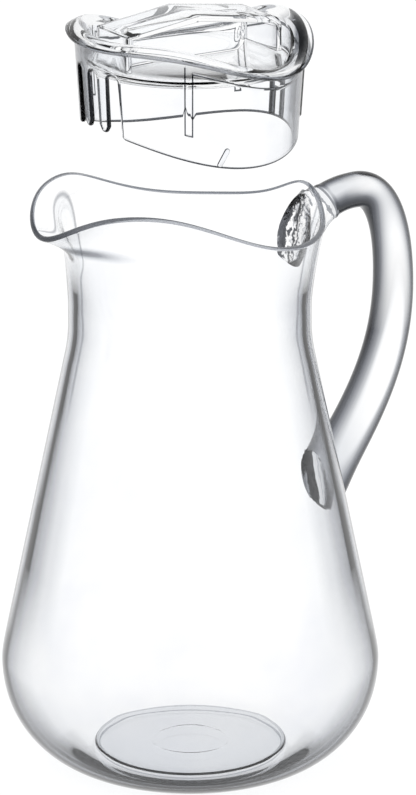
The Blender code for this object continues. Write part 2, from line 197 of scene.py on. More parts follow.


# Styrene-acrylonitrile, the clear glossy plastic of fridge jugs. Moulded against polished steel,
# so it is nearly mirror smooth: the eye gets clean refraction, and the grey to black towards
# the edges is painted shade, set by the angle to the surface. The moulding leaves faint slow
# ripples in the surface, tens of millimetres long, and patches that are a little less clear.
# A finish's fade lists the painted shade: (1 - cosine of the angle to the surface, colour let through).
def mouldedClear(name, finish):
    finish = {**polished, **finish}
    material, tree = newMaterial(name)
    coords = addNode(tree, "TexCoord")
    place = addNode(tree, "SeparateXYZ", None, {"Vector": coords.outputs["Object"]})
    shape = addNode(tree, "NewGeometry")
    weight = addNode(tree, "LayerWeight", {"Blend": 0.5})
    if "lean" in finish:
        tree.links.new(leaningNormal(tree, coords, shape, finish["lean"]), weight.inputs["Normal"])
    # the painted shade is laid on once, on the way into the plastic, unless the finish says both ways
    entering = addNode(
        tree, "Math", {"operation": "SUBTRACT", 0: 1.0}, {1: shape.outputs["Backfacing"]}
    ).outputs["Value"]
    glance = weight.outputs["Facing"]
    if not finish["bothWays"]:
        glance = addNode(tree, "Math", {"operation": "MULTIPLY"}, {0: glance, 1: entering}).outputs["Value"]
    # painted shade by the angle to the surface, with painted dark and light bands where a fade has them
    tint = addNode(tree, "ValToRGB", None, {"Fac": glance})
    rampStops(tint, finish["fade"])
    colour = tint.outputs["Color"]
    for zone in finish["zones"]:
        colour = zonedColour(tree, place, glance, colour, zone)
    # painted shade in the spout's crease and across the bonds darkens the colour further
    shades = []
    if "crease" in finish:
        shades.append(paintedCreaseShade(tree, place, entering, finish["crease"]))
    if "paintedFolds" in finish:
        shades.append(paintedFoldShade(tree, coords, place, finish["paintedFolds"]))
    for shade in shades:
        dimmed = addNode(
            tree, "Mix", {"data_type": "RGBA", "blend_type": "MULTIPLY", 0: 1.0}, {6: colour, 7: shade}
        )
        colour = dimmed.outputs[2]
    if "cloud" in finish:
        colour = cloudedColour(tree, coords, colour, finish["cloud"])
    ripple = addNode(
        tree, "TexNoise",
        {"Scale": 1 / (finish["rippleSize"] * mm), "Detail": 1.5, "Roughness": 0.4},
        {"Vector": coords.outputs["Object"]},
    )
    bump = addNode(
        tree, "Bump", {"Strength": 1.0, "Distance": finish["rippleHeight"] * mm},
        {"Height": ripple.outputs["Fac"]},
    )
    polish = addNode(
        tree, "MapRange", {"To Min": finish["rough"] * 0.6, "To Max": finish["rough"] * 1.4},
        {"Value": ripple.outputs["Fac"]},
    )
    plastic = addNode(
        tree, "BsdfPrincipled",
        {
            "IOR": finish["ior"], "Transmission Weight": finish["clear"], "Metallic": 0.0,
            "Specular Tint": linear(finish["gloss"]),
        },
        {"Base Color": colour, "Roughness": polish.outputs["Result"], "Normal": bump.outputs["Normal"]},
    )
    # lamps shine through the wall, so its shadow on the floor stays as pale as a clear jug's
    paths = addNode(tree, "LightPath")
    through = addNode(tree, "BsdfTransparent", {"Color": linear(finish["shadowHex"])})
    lit = addNode(
        tree, "MixShader", None,
        {0: paths.outputs["Is Shadow Ray"], 1: plastic.outputs["BSDF"], 2: through.outputs["BSDF"]},
    )
    addNode(tree, "OutputMaterial", None, {"Surface": lit.outputs["Shader"]})
    return material


def plastics(finishes):
    return [mouldedClear("clear SAN, " + place, finish) for place, finish in finishes.items()]


# A piece's material slots are in the order of its finishes
def slotNumbers(finishes):
    return {place: number for number, place in enumerate(finishes)}


def finishPiece(name, bm, body, node, materials, sharp=35):
    bmesh.ops.scale(bm, vec=(mm, mm, mm), verts=bm.verts)
    mesh = bpy.data.meshes.new(name)
    bm.to_mesh(mesh)
    bm.free()
    mesh.shade_smooth()
    mesh.set_sharp_from_angle(angle=math.radians(sharp))
    for material in materials:
        mesh.materials.append(material)
    piece = bpy.data.objects.new(name, mesh)
    bpy.context.scene.collection.objects.link(piece)
    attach(piece, body)
    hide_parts(node)
    print(name, "has", len(mesh.polygons), "faces")


def only(kind, geom):
    return [item for item in geom if isinstance(item, kind)]


def turnOutline(outline, steps):
    bm = bmesh.new()
    verts = [bm.verts.new((radius, 0, height)) for radius, height in outline]
    edges = [bm.edges.new(pair) for pair in zip(verts, verts[1:])]
    bmesh.ops.spin(
        bm, geom=verts + edges, cent=(0, 0, 0), axis=(0, 0, 1),
        angle=math.tau, steps=steps, use_merge=True,
    )
    bmesh.ops.remove_doubles(bm, verts=bm.verts, dist=0.005)
    bmesh.ops.recalc_face_normals(bm, faces=bm.faces)
    return bm


# Points of an arc that rounds the corner between two straight runs
def roundedCorner(before, corner, after, radius, steps):
    corner = Vector(corner)
    back = Vector(before) - corner
    ahead = Vector(after) - corner
    half = back.angle(ahead) / 2
    reach = min(radius / math.tan(half), 0.45 * min(back.length, ahead.length))
    radius = reach * math.tan(half)
    centre = corner + (back.normalized() + ahead.normalized()).normalized() * (radius / math.sin(half))
    start = corner + back.normalized() * reach - centre
    sweep = start.angle_signed(corner + ahead.normalized() * reach - centre)
    points = []
    for step in range(steps + 1):
        arm = Matrix.Rotation(-sweep * step / steps, 2) @ start
        points.append((centre.x + arm.x, centre.y + arm.y))
    return points


photo = {
    "wide": 416, "high": 795,
    "turn": 32.0, "tilt": 18.0, "distance": 2.2, "sensor": 24.0,
    "pixelsPerMetre": 2551.0, "axisPixel": 190.0, "aimHeight": 0.1498,
}


def makeCamera():
    turn, tilt = math.radians(photo["turn"]), math.radians(photo["tilt"])
    right = Vector((math.cos(turn), -math.sin(turn), 0))
    level = Vector((math.sin(turn), math.cos(turn), 0))
    forward = level * math.cos(tilt) - Vector((0, 0, math.sin(tilt)))
    shift = (photo["wide"] / 2 - photo["axisPixel"]) / photo["pixelsPerMetre"]
    aim = Vector((0, 0, photo["aimHeight"])) + right * shift
    lens = bpy.data.cameras.new("camera")
    lens.sensor_fit = "VERTICAL"
    lens.sensor_height = photo["sensor"]
    lens.lens = photo["sensor"] * photo["pixelsPerMetre"] * photo["distance"] / photo["high"]
    lens.clip_end = 60.0
    camera = bpy.data.objects.new("camera", lens)
    bpy.context.scene.collection.objects.link(camera)
    camera.location = aim - forward * photo["distance"]
    camera.rotation_euler = forward.to_track_quat("-Z", "Y").to_euler()
    bpy.context.scene.camera = camera
    print("camera set")


studio = {
    "floorRadius": 14.0, "floorDrop": 0.0002, "floorHex": "F6F6F7", "lift": 0.85,
    "horizonHex": "FFFFFF", "ceilingHex": "84878D", "ceilingFrom": 0.5, "ceilingTo": 0.8,
    "lampAim": (0.0, 0.0, 0.12),
    "lamps": [
        ("key", (-1.1, -1.0, 1.5), 0.9, 26.0),
        ("fill", (1.3, -0.7, 1.1), 0.8, 14.0),
        ("back", (0.3, 1.4, 1.4), 1.0, 20.0),
    ],
}


def makeStudio():
    bm = bmesh.new()
    bmesh.ops.create_circle(bm, cap_ends=True, radius=studio["floorRadius"], segments=96)
    mesh = bpy.data.meshes.new("studio_floor")
    bm.to_mesh(mesh)
    bm.free()
    floor = bpy.data.objects.new("studio_floor", mesh)
    floor.location.z = -studio["floorDrop"]
    bpy.context.scene.collection.objects.link(floor)
    material, tree = newMaterial("matt white studio paper")
    paper = addNode(tree, "BsdfDiffuse", {"Color": linear(studio["floorHex"])})
    glow = addNode(tree, "Emission", {"Color": (1, 1, 1, 1), "Strength": 1.0})
    paths = addNode(tree, "LightPath")
    seen = paths.outputs["Is Camera Ray"]
    for ray in ("Is Glossy Ray", "Is Transmission Ray"):
        seen = addNode(
            tree, "Math", {"operation": "MAXIMUM"}, {0: seen, 1: paths.outputs[ray]}
        ).outputs["Value"]
    share = addNode(tree, "Math", {"operation": "MULTIPLY", 1: studio["lift"]}, {0: seen})
    mix = addNode(
        tree, "MixShader", None,
        {0: share.outputs["Value"], 1: paper.outputs["BSDF"], 2: glow.outputs["Emission"]},
    )
    addNode(tree, "OutputMaterial", None, {"Surface": mix.outputs["Shader"]})
    mesh.materials.append(material)

    world = bpy.data.worlds.new("studio")
    bpy.context.scene.world = world
    world.use_nodes = True
    tree = world.node_tree
    tree.nodes.clear()
    coords = addNode(tree, "TexCoord")
    parts = addNode(tree, "SeparateXYZ", None, {"Vector": coords.outputs["Generated"]})
    sky = addNode(tree, "ValToRGB", None, {"Fac": parts.outputs["Z"]})
    rampStops(sky, [
        (studio["ceilingFrom"], studio["horizonHex"]),
        (studio["ceilingTo"], studio["ceilingHex"]),
        (1.0, studio["ceilingHex"]),
    ])
    light = addNode(tree, "Background", {"Strength": 1.0}, {"Color": sky.outputs["Color"]})
    addNode(tree, "OutputWorld", None, {"Surface": light.outputs["Background"]})

    for name, place, size, power in studio["lamps"]:
        lamp = bpy.data.lights.new(name, "AREA")
        lamp.shape = "DISK"
        lamp.size = size
        lamp.energy = power
        stand = bpy.data.objects.new(name, lamp)
        stand.location = place
        stand.visible_glossy = False
        stand.visible_transmission = False
        aim = Vector(studio["lampAim"]) - stand.location
        stand.rotation_euler = aim.to_track_quat("-Z", "Y").to_euler()
        bpy.context.scene.collection.objects.link(stand)
    bpy.context.scene.view_settings.view_transform = "Standard"
    print("floor, world and lamps set")


jugWall = {
    "baseRadius": 36.0, "baseThick": 6.0, "floorRadius": 38.4, "floorStep": 0.8,
    "bellyRadius": 75.0, "bellyHeight": 42.0, "shoulderBend": 25.0,
    "neckRadius": 47.6, "neckHeight": 175.0, "neckBend": 100.0, "wall": 2.2,
    "gateRing": 15.0, "gateRise": 0.17, "gateSpread": 0.55, "floorBead": 0.3, "floorBand": (1.7, 0.2),
    "footRing": 37.0, "footHalf": 0.6, "bowlRows": 100,
    "easeFrom": 22.0, "easeTo": 80.0, "easeTurns": 60, "hollowBend": 1.4,
    "easeRow": 1.2, "easeFade": 14.0, "slopeRows": 48, "steps": 192,
    "bonds": [{"height": 212.0, "half": 11.8, "tall": 14.2}, {"height": 104.9, "half": 10.2, "tall": 13.2}],
}
mouth = {
    "flareHeight": 190.0, "rimHeight": 227.3, "rimFlare": 3.3,
    "handleFlare": 3.9, "handleSpread": math.radians(36.0),
    "spoutReach": 18.8, "spoutSpread": math.radians(31.3),
    "tilt": 10.5, "saddle": 1.6, "wave": 2.7, "ripple": 1.1,
    "handleRise": 9.8, "handleRiseSpread": math.radians(19.0),
    "spoutDip": 10.4, "spoutDipSpread": math.radians(17.0),
    "flareCurve": 1.2, "spoutCurve": 5.0, "waveCurve": 1.6, "levels": 30, "levelCurve": 1.4, "lipSteps": 10,
}
# The same plastic in each place on the jug, with the painted shade there
jugFinishes = {
    "moulded body": {
        "fade": [
            (0.0, "FFFFFF"), (0.2, "F6F7F9"), (0.351, "E8EAEC"), (0.438, "E0E2E5"), (0.487, "D3D6D9"),
            (0.541, "C1C4C8"), (0.577, "B5B8BC"), (0.616, "9EA1A6"), (0.645, "8F9298"), (0.676, "7E8187"),
            (0.71, "64676D"), (0.729, "4F5258"), (0.749, "1A1C20"), (0.76, "000000"), (0.84, "000000"),
            (1.0, "1A1C20"),
        ],
        # painted dark and light bands, which differ by height on the body
        "zones": [
            {
                "axis": "Z", "from": 55.0, "to": 85.0,
                "fade": [
                    (0.0, "FFFFFF"), (0.2, "FEFEFF"), (0.339, "F0F2F4"), (0.38, "DCDFE2"),
                    (0.424, "C8CBCF"), (0.47, "BEC1C5"), (0.494, "ADB0B5"), (0.519, "9EA1A6"),
                    (0.546, "8A8D92"), (0.574, "80838A"), (0.605, "6E7177"), (0.638, "5A5D63"),
                    (0.655, "373A3F"), (0.668, "000000"), (0.76, "000000"), (0.79, "40434A"),
                    (0.83, "8A8D93"), (0.865, "B0B3B8"), (0.885, "202226"), (1.0, "040506"),
                ],
            },
            {
                "axis": "Z", "from": 110.0, "to": 150.0,
                "fade": [
                    (0.0, "FFFFFF"), (0.2, "FEFEFF"), (0.33, "F4F6F8"), (0.4, "E0E3E6"), (0.46, "C8CBCF"),
                    (0.52, "ACAFB4"), (0.56, "94979D"), (0.6, "6A6D73"), (0.635, "0A0B0D"),
                    (0.65, "000000"), (0.71, "000000"), (0.74, "50535A"), (0.79, "9A9DA3"),
                    (0.85, "B0B3B8"), (0.885, "202226"), (1.0, "040506"),
                ],
            },
            {
                "axis": "Z", "from": 198.0, "to": 214.0,
                "fade": [
                    (0.0, "FFFFFF"), (0.3, "F8F9FB"), (0.5, "ECEEF0"), (0.65, "DCDFE2"), (0.74, "C8CBCF"),
                    (0.87, "D0D3D7"), (1.0, "B0B3B8"),
                ],
            },
            {
                "axis": "Z", "from": 46.0, "to": 12.0,
                "fade": [
                    (0.0, "FFFFFF"), (0.25, "F4F6F8"), (0.33, "E8EAED"), (0.41, "C0C3C8"), (0.44, "B8BBC0"),
                    (0.47, "94979D"), (0.5, "74777D"), (0.54, "40434A"), (0.565, "14161A"),
                    (0.605, "000000"), (0.625, "4A4D53"), (0.645, "101114"), (0.69, "000000"),
                    (0.73, "5A5D63"), (0.75, "26282D"), (0.8, "000000"), (0.86, "202226"), (1.0, "101114"),
                ],
            },
        ],
        # painted shade under each side of the spout
        "crease": {
            "centre": (-57.0, 7.0, 219.5), "turn": math.radians(53.4), "reach": (28.0, 14.0, 3.4),
            "fade": [(0.0, "FFFFFF"), (0.25, "D8DBDF"), (0.6, "6A6D73"), (1.0, "202226")],
        },
        "cloud": {"hex": "F6F7FA", "size": 34.0},
    },
    # painted shade: the lip is painted grey as a dark outline, darker still at the spout, and is only partly
    # clear, or it would be black where light runs down into the wall
    "rounded lip": {
        **edged, "fade": [(0.0, "8E9197"), (0.5, "85888E"), (1.0, "74777D")], "clear": 0.55,
        "zones": [{"axis": "X", "from": -59.0, "to": -66.0, "fade": [(0.0, "6A6D73"), (1.0, "4A4D53")]}],
    },
    # painted shade: the floor's edge is painted as a dark line
    "floor edge": {**edged, "fade": [(0.0, "C8CBD0"), (0.5, "ACAFB4"), (1.0, "74777D")]},
    # painted shade: the thick floor greys towards grazing angles
    "thick floor": {
        "fade": [(0.0, "FFFFFF"), (0.4, "E8EAED"), (0.63, "C6C9CE"), (0.8, "B8BBC0"), (1.0, "A0A3A9")],
        "rippleSize": 16.0, "rippleHeight": 0.04,
    },
    # painted shade: a thin dark line on the inside between these heights
    "inside of the wall": {
        "zones": [
            {
                "axis": "Z", "from": 130.0, "to": 150.0,
                "fade": [
                    (0.0, "FFFFFF"), (0.615, "FFFFFF"), (0.638, "84878D"), (0.65, "84878D"),
                    (0.672, "F4F6F8"), (1.0, "FFFFFF"),
                ],
            },
        ],
    },
    # painted shade: the foot ring under the floor is painted as a dark line
    "foot ring": {**edged, "fade": [(0.0, "A0A3A9"), (1.0, "74777D")], "bothWays": True, "rough": 0.05},
    "fused to the rod": {**fused, "ior": 1.01, "rippleHeight": 0.0},
}


def mouthShift(angle, rise):
    plain = mouth["rimFlare"] + mouth["handleFlare"] * bell(angle, mouth["handleSpread"])
    fromSpout = math.pi - abs(angle)
    spout = mouth["spoutReach"] * bell(fromSpout, mouth["spoutSpread"])
    outward = plain * rise ** mouth["flareCurve"] + spout * rise ** mouth["spoutCurve"]
    wave = -mouth["tilt"] * math.cos(angle) + mouth["saddle"] * math.cos(2 * angle)
    wave += mouth["wave"] * math.cos(3 * angle) - mouth["ripple"] * math.cos(4 * angle)
    wave += mouth["handleRise"] * bell(angle, mouth["handleRiseSpread"])
    wave -= mouth["spoutDip"] * bell(fromSpout, mouth["spoutDipSpread"])
    return outward, wave * rise ** mouth["waveCurve"]


def openMouth(bm):
    for vert in bm.verts:
        x, y, z = vert.co
        if z <= mouth["flareHeight"]:
            continue
        rise = (z - mouth["flareHeight"]) / (mouth["rimHeight"] - mouth["flareHeight"])
        outward, upward = mouthShift(math.atan2(y, x), rise)
        radius = math.hypot(x, y)
        if radius > 1:
            vert.co.x *= (radius + outward) / radius
            vert.co.y *= (radius + outward) / radius
        vert.co.z = z + upward


# The bowl's quarter of an ellipse, up to the belly, moved inwards by an inset
def bowlOutline(inset, steps):
    flat, tall = jugWall["baseRadius"], jugWall["bellyHeight"]
    wide = jugWall["bellyRadius"] - flat
    points = []
    for step in range(steps + 1):
        turn = math.pi / 2 * step / steps
        inward = Vector((-tall * math.sin(turn), wide * math.cos(turn))).normalized() * inset
        points.append((flat + wide * math.sin(turn) + inward.x, tall * (1 - math.cos(turn)) + inward.y))
    return points


def wallOutline(inset, points):
    belly, neck = jugWall["bellyRadius"] - inset, jugWall["neckRadius"] - inset
    tall = jugWall["bellyHeight"]
    drop = math.atan2(jugWall["bellyRadius"] - jugWall["neckRadius"], jugWall["neckHeight"] - tall)
    shoulder = (belly, tall + jugWall["shoulderBend"] * math.tan(drop / 2))
    throat = (neck, jugWall["neckHeight"])
    flare = (neck, mouth["flareHeight"])
    first = roundedCorner(points[-1], shoulder, throat, jugWall["shoulderBend"], 8)
    second = roundedCorner(shoulder, throat, flare, jugWall["neckBend"], 14)
    rows = jugWall["slopeRows"]
    slope = [Vector(first[-1]).lerp(Vector(second[0]), row / rows) for row in range(1, rows)]
    return eased(points + first + [tuple(p) for p in slope] + second + [flare])


# The bowl runs into the shoulder without a break: the outline there is divided evenly and evened out
def eased(points):
    low, high = jugWall["easeFrom"], jugWall["easeTo"]
    below = [p for p in points if p[1] < low]
    above = [p for p in points if p[1] > high]
    run = [Vector(p) for p in points if low <= p[1] <= high]
    even = [run[0]]
    for before, after in zip(run, run[1:]):
        count = max(1, round((after - before).length / jugWall["easeRow"]))
        even += [before.lerp(after, step / count) for step in range(1, count + 1)]
    smooth = even
    for turn in range(jugWall["easeTurns"]):
        inner = [(a + b * 2 + c) / 4 for a, b, c in zip(smooth, smooth[1:], smooth[2:])]
        smooth = [smooth[0]] + inner + [smooth[-1]]
    fade = jugWall["easeFade"]
    for plain, soft in zip(even, smooth):
        share = smoothStep(low, low + fade, plain.y) * (1 - smoothStep(high - fade, high, plain.y))
        below.append(tuple(plain.lerp(soft, share)))
    return below + above


# The hollow keeps the wall's thickness, and bends over into the floor round the raised disc
def hollowOutline(outside):
    wall, bend = jugWall["wall"], jugWall["hollowBend"]
    floor = jugWall["baseThick"] - jugWall["floorStep"]
    points = []
    for before, here, after in zip(outside[:1] + outside, outside, outside[1:] + outside[-1:]):
        along = (Vector(after) - Vector(before)).normalized()
        radius, height = here[0] - along.y * wall, here[1] + along.x * wall
        above = height - floor
        if radius > jugWall["floorRadius"] + 0.3:
            points.append((radius, floor + (above + math.hypot(above, bend)) / 2))
    return points


def mouthOutline(radius, top):
    low, count, curve = mouth["flareHeight"], mouth["levels"], mouth["levelCurve"]
    levels = [1 - (1 - step / count) ** curve for step in range(1, count)]
    return [(radius, low + level * (top - low)) for level in levels]


# The mouth's corners one above another, for each side: corner, height and radius before the mouth opens
def wallColumns(bm):
    columns = {}
    for vert in bm.verts:
        x, y, z = vert.co
        if z > mouth["flareHeight"] + hair:
            side = round(math.atan2(y, x) * jugWall["steps"] / math.tau) % jugWall["steps"]
            columns.setdefault(side, []).append((vert, z, math.hypot(x, y)))
    return columns.values()


# Once the mouth is opened, the inside is set square to the outside and the lip rounded across the two
def squareWall(column, neck, rim, wall):
    outer = [(vert, level) for vert, level, radius in column if radius > neck - hair]
    outside = {level: vert for vert, level in outer if level < rim - hair}
    corner = next(vert for vert, level in outer if level > rim - hair)
    highest = outside[max(outside)]
    across = highest.normal.copy()
    along = corner.co - highest.co
    along = (along - across * along.dot(across)).normalized()
    middle = corner.co - across * wall / 2
    for vert, level, radius in column:
        if level > rim - hair:
            vert.co = middle + across * (radius - neck + wall / 2) + along * (level - rim)
        elif radius < neck - hair:
            vert.co = outside[level].co - outside[level].normal * wall


# The moulded floor: a raised disc with a rounded edge and a thin gate ring round its middle
def floorOutline():
    top, edge = jugWall["baseThick"], jugWall["floorRadius"]
    rise, bead = jugWall["floorStep"], jugWall["floorBead"]
    points = []
    for step in range(1, 7):
        turn = step * (math.pi / 12)
        points.append((edge - rise * (1 - math.cos(turn)), top - rise + (rise + bead) * math.sin(turn)))
    points += [(edge - 1.2, top + bead * 0.7), (edge - 1.6, top + bead * 0.15), (edge - 2.0, top)]
    for offset in (3.0, 1.2, 0.6, 0.0, -0.6, -1.2, -3.0):
        ridge = jugWall["gateRise"] * bell(offset, jugWall["gateSpread"])
        points.append((jugWall["gateRing"] + offset, top + ridge))
    return points + [(0.0, top)]


def makeJugBody(materials):
    wall, neck = jugWall["wall"], jugWall["neckRadius"]
    rim = mouth["rimHeight"] - wall / 2
    outside = wallOutline(0.0, bowlOutline(0.0, jugWall["bowlRows"]))
    outline = [(0.0, 0.0)] + outside + mouthOutline(neck, rim)
    for step in range(mouth["lipSteps"] + 1):
        turn = math.pi * step / mouth["lipSteps"]
        outline.append((neck - wall / 2 + wall / 2 * math.cos(turn), rim + wall / 2 * math.sin(turn)))
    outline += reversed(mouthOutline(neck - wall, rim))
    outline += reversed(hollowOutline(outside))
    outline += floorOutline()
    bm = turnOutline(outline, jugWall["steps"])
    slot, edge = slotNumbers(jugFinishes), jugWall["floorRadius"]
    within, beyond = jugWall["floorBand"]
    # each face takes the finish of its place, and with it that place's painted shade and dark lines
    for face in bm.faces:
        middle = face.calc_center_median()
        radius = math.hypot(middle.x, middle.y)
        low = middle.z < jugWall["baseThick"] + 1
        inside = face.normal.dot(Vector((middle.x, middle.y, 0))) < -0.001 or face.normal.z > 0.7
        if middle.z > rim + 0.02:
            face.material_index = slot["rounded lip"]
        elif inside and low and edge - within < radius < edge + beyond:
            face.material_index = slot["floor edge"]
        elif inside:
            face.material_index = slot["thick floor" if low and radius < edge else "inside of the wall"]
        elif middle.z < 0.1 and abs(radius - jugWall["footRing"]) < jugWall["footHalf"]:
            face.material_index = slot["foot ring"]
    columns = wallColumns(bm)
    openMouth(bm)
    bm.normal_update()
    for column in columns:
        squareWall(column, neck, rim, wall)
    bm.normal_update()
    # behind the handle's roots the wall is fused to the rod
    for face in bm.faces:
        middle = face.calc_center_median()
        for bond in jugWall["bonds"]:
            away = math.hypot(middle.y / bond["half"], (middle.z - bond["height"]) / bond["tall"])
            if face.material_index == slot["moulded body"] and middle.x > 0 and away < 1:
                face.material_index = slot["fused to the rod"]
    finishPiece("jug_shell", bm, "jug", "jug_body", materials)


handle = {
    "rod": 8.1, "crownRod": 7.1, "footRod": 9.7, "handSpace": 39.6,
    "upperRoot": 207.0, "upperRootRadius": 13.5, "crownHeight": 223.0, "crownSetback": 18.3,
    "reachHeight": 183.0, "lowerRoot": 100.0, "lowerRootRadius": 11.5, "rootDepth": 5.0,
    "crownShare": 0.2, "reachShare": 0.47, "rootFlareShare": 0.075,
    "bondGap": 0.3, "bondReach": 0.6, "bondFacing": -0.25,
    "sides": 44, "pathSteps": (46, 40, 60), "cutterRows": 30, "cutterSteps": 150,
    "upperPull": (0.45, 0.3), "crownPull": (0.4, 0.66), "outerPull": (0.29, 0.36), "lowerPull": (0.3, 0.37),
    "seamShare": 0.135, "seamSpread": 0.004, "seamRise": 0.4, "seamBand": (-0.9, 0.3), "rootsDivide": 180.0,
    "wrinkle": 1.0, "wrinkleSize": 3.5,
}
rodFinishes = {
    # painted shade: the rod is painted dark at its edges; towards the crown the clear middle is wider, and on
    # the run to the upper root it is greyer
    "cast rod": {
        "fade": [
            (0.0, "FFFFFF"), (0.06, "FFFFFF"), (0.09, "E4E6E9"), (0.13, "94979D"), (0.19, "5A5D63"),
            (0.25, "3A3C42"), (0.33, "14161A"), (0.42, "030304"), (1.0, "000000"),
        ],
        "zones": [
            {
                "axis": "Z", "from": 164.0, "to": 204.0,
                "fade": [
                    (0.0, "FFFFFF"), (0.15, "FFFFFF"), (0.19, "EEF0F2"), (0.24, "C5C8CC"), (0.3, "8C8F95"),
                    (0.36, "4A4D53"), (0.44, "26282D"), (0.55, "0A0B0D"), (1.0, "040506"),
                ],
            },
            {
                "axis": "X", "from": 84.0, "to": 68.0,
                "fade": [
                    (0.0, "E0E2E5"), (0.07, "D8DBDF"), (0.12, "ACAFB4"), (0.18, "7A7D83"), (0.25, "50535A"),
                    (0.33, "2C2E33"), (0.45, "14161A"), (0.6, "0A0B0D"), (1.0, "040506"),
                ],
            },
        ],
        "lean": {"centre": (60.0, 0.0, 165.0), "share": -0.36}, "rough": 0.1, "rippleSize": 14.0,
        "gloss": "000000",
    },
    # painted shade in dark strips across the upper bond
    "upper bond": {
        **fused, "ior": 1.15, "rippleSize": 3.0, "rippleHeight": 0.4,
        "paintedFolds": {
            "size": 4.0, "wander": 12.0, "reach": 13.0,
            "strips": [
                (0.0, "F0F2F4"), (0.12, "C8CBCF"), (0.18, "FFFFFF"), (0.26, "D8DBDF"), (0.32, "94979D"),
                (0.36, "FFFFFF"), (0.43, "E0E2E5"), (0.45, "3A3C42"), (0.49, "0A0B0D"), (0.51, "FFFFFF"),
                (0.54, "202226"), (0.6, "000000"), (0.64, "B0B3B8"), (0.66, "FFFFFF"), (0.71, "FFFFFF"),
                (0.73, "202226"), (0.8, "101114"), (0.95, "26282D"), (1.0, "8A8D93"),
            ],
        },
    },
    "root seam": {
        "fade": [(0.0, "6A6D73"), (1.0, "202226")], "rough": 0.05, "rippleSize": 5.0, "rippleHeight": 0.1,
    },
    # painted shade in dark strips across the lower bond
    "lower bond": {
        **fused, "ior": 1.15, "rippleSize": 3.0, "rippleHeight": 0.3,
        "paintedFolds": {
            "size": 6.0, "wander": 7.0, "reach": 12.0,
            "strips": [
                (0.0, "80838A"), (0.14, "A8ABB0"), (0.2, "6A6D73"), (0.24, "B0B3B8"), (0.3, "FFFFFF"),
                (0.36, "C8CBCF"), (0.38, "FFFFFF"), (0.52, "FFFFFF"), (0.54, "0A0B0D"), (0.58, "000000"),
                (0.8, "050506"), (0.82, "6A6D73"), (0.9, "3A3C42"), (1.0, "5A5D63"),
            ],
        },
    },
    # painted shade at the stub's edges
    "root stub": {
        "fade": [(0.0, "FFFFFF"), (0.5, "F6F7F9"), (0.7, "C0C3C8"), (0.85, "5A5D63"), (1.0, "1A1B1F")],
        "rough": 0.02, "rippleSize": 3.0, "rippleHeight": 0.4, "gloss": "202020",
    },
}


# Outer radius of the jug at a height, round to any side
def wallRadius(angle, height):
    if height < jugWall["neckHeight"]:
        share = (height - jugWall["bellyHeight"]) / (jugWall["neckHeight"] - jugWall["bellyHeight"])
        return jugWall["bellyRadius"] + (jugWall["neckRadius"] - jugWall["bellyRadius"]) * share
    low, high = 0.0, 1.0
    for halving in range(20):
        rise = (low + high) / 2
        level = mouth["flareHeight"] + rise * (mouth["rimHeight"] - mouth["flareHeight"])
        low, high = (rise, high) if level + mouthShift(angle, rise)[1] < height else (low, rise)
    return jugWall["neckRadius"] + mouthShift(angle, low)[0]


def handlePath():
    reach = jugWall["neckRadius"] + handle["handSpace"] + handle["rod"]
    low = handle["lowerRoot"]
    upper = Vector((jugWall["neckRadius"] - handle["rootDepth"], 0, handle["upperRoot"]))
    crown = Vector((reach - handle["crownSetback"], 0, handle["crownHeight"]))
    outer = Vector((reach, 0, handle["reachHeight"]))
    lower = Vector((wallRadius(0.0, low) - handle["rootDepth"], 0, low))
    run, drop, back = crown.x - upper.x, outer.z - lower.z, handle["crownSetback"]
    upperPull, crownPull = handle["upperPull"], handle["crownPull"]
    outerPull, lowerPull = handle["outerPull"], handle["lowerPull"]
    fromUpper = upper + Vector((run * upperPull[0], 0, run * upperPull[1]))
    toCrown = crown - Vector((run * crownPull[0], 0, 0))
    fromCrown = crown + Vector((back * crownPull[1], 0, 0))
    toOuter = outer + Vector((0, 0, drop * outerPull[0]))
    fromOuter = outer - Vector((0, 0, drop * outerPull[1]))
    toLower = lower + Vector((drop * lowerPull[0], 0, drop * lowerPull[1]))
    arms = [
        (upper, fromUpper, toCrown, crown),
        (crown, fromCrown, toOuter, outer),
        (outer, fromOuter, toLower, lower),
    ]
    points = []
    for arm, count in zip(arms, handle["pathSteps"]):
        points += interpolate_bezier(*arm, count)[:-1]
    return points + [lower]


def rodRadius(share):
    crown, reach = handle["crownShare"], handle["reachShare"]
    above = min(1.0, max(0.0, (share - crown) / (reach - crown)))
    below = max(0.0, (share - reach) / (1 - reach))
    radius = handle["crownRod"] + (handle["rod"] - handle["crownRod"]) * above
    radius += (handle["footRod"] - handle["rod"]) * below
    spread = handle["rootFlareShare"]
    radius += (handle["upperRootRadius"] - handle["crownRod"]) * bell(share, spread)
    radius += (handle["lowerRootRadius"] - handle["footRod"]) * bell(1 - share, spread)
    return radius + handle["seamRise"] * bell(share - handle["seamShare"], handle["seamSpread"])


def sweepRod(points, lengths):
    bm = bmesh.new()
    verts = bmesh.ops.create_circle(bm, cap_ends=False, radius=1.0, segments=handle["sides"])["verts"]
    ring = bm.edges[:]
    placed = Matrix()
    for index, point in enumerate(points):
        ahead = points[min(index + 1, len(points) - 1)] - points[max(index - 1, 0)]
        across = Vector((-ahead.z, 0, ahead.x)).normalized()
        radius = rodRadius(lengths[index] / lengths[-1])
        turned = Matrix((across * radius, Vector((0, radius, 0)), ahead.normalized())).transposed()
        frameHere = Matrix.Translation(point) @ turned.to_4x4()
        if index:
            grown = bmesh.ops.extrude_edge_only(bm, edges=ring)["geom"]
            verts = only(bmesh.types.BMVert, grown)
            ring = [edge for edge in only(bmesh.types.BMEdge, grown) if set(edge.verts) <= set(verts)]
        bmesh.ops.transform(bm, matrix=frameHere @ placed.inverted(), verts=verts)
        placed = frameHere
    bmesh.ops.holes_fill(bm, edges=bm.edges, sides=0)
    bmesh.ops.recalc_face_normals(bm, faces=bm.faces)
    return bm


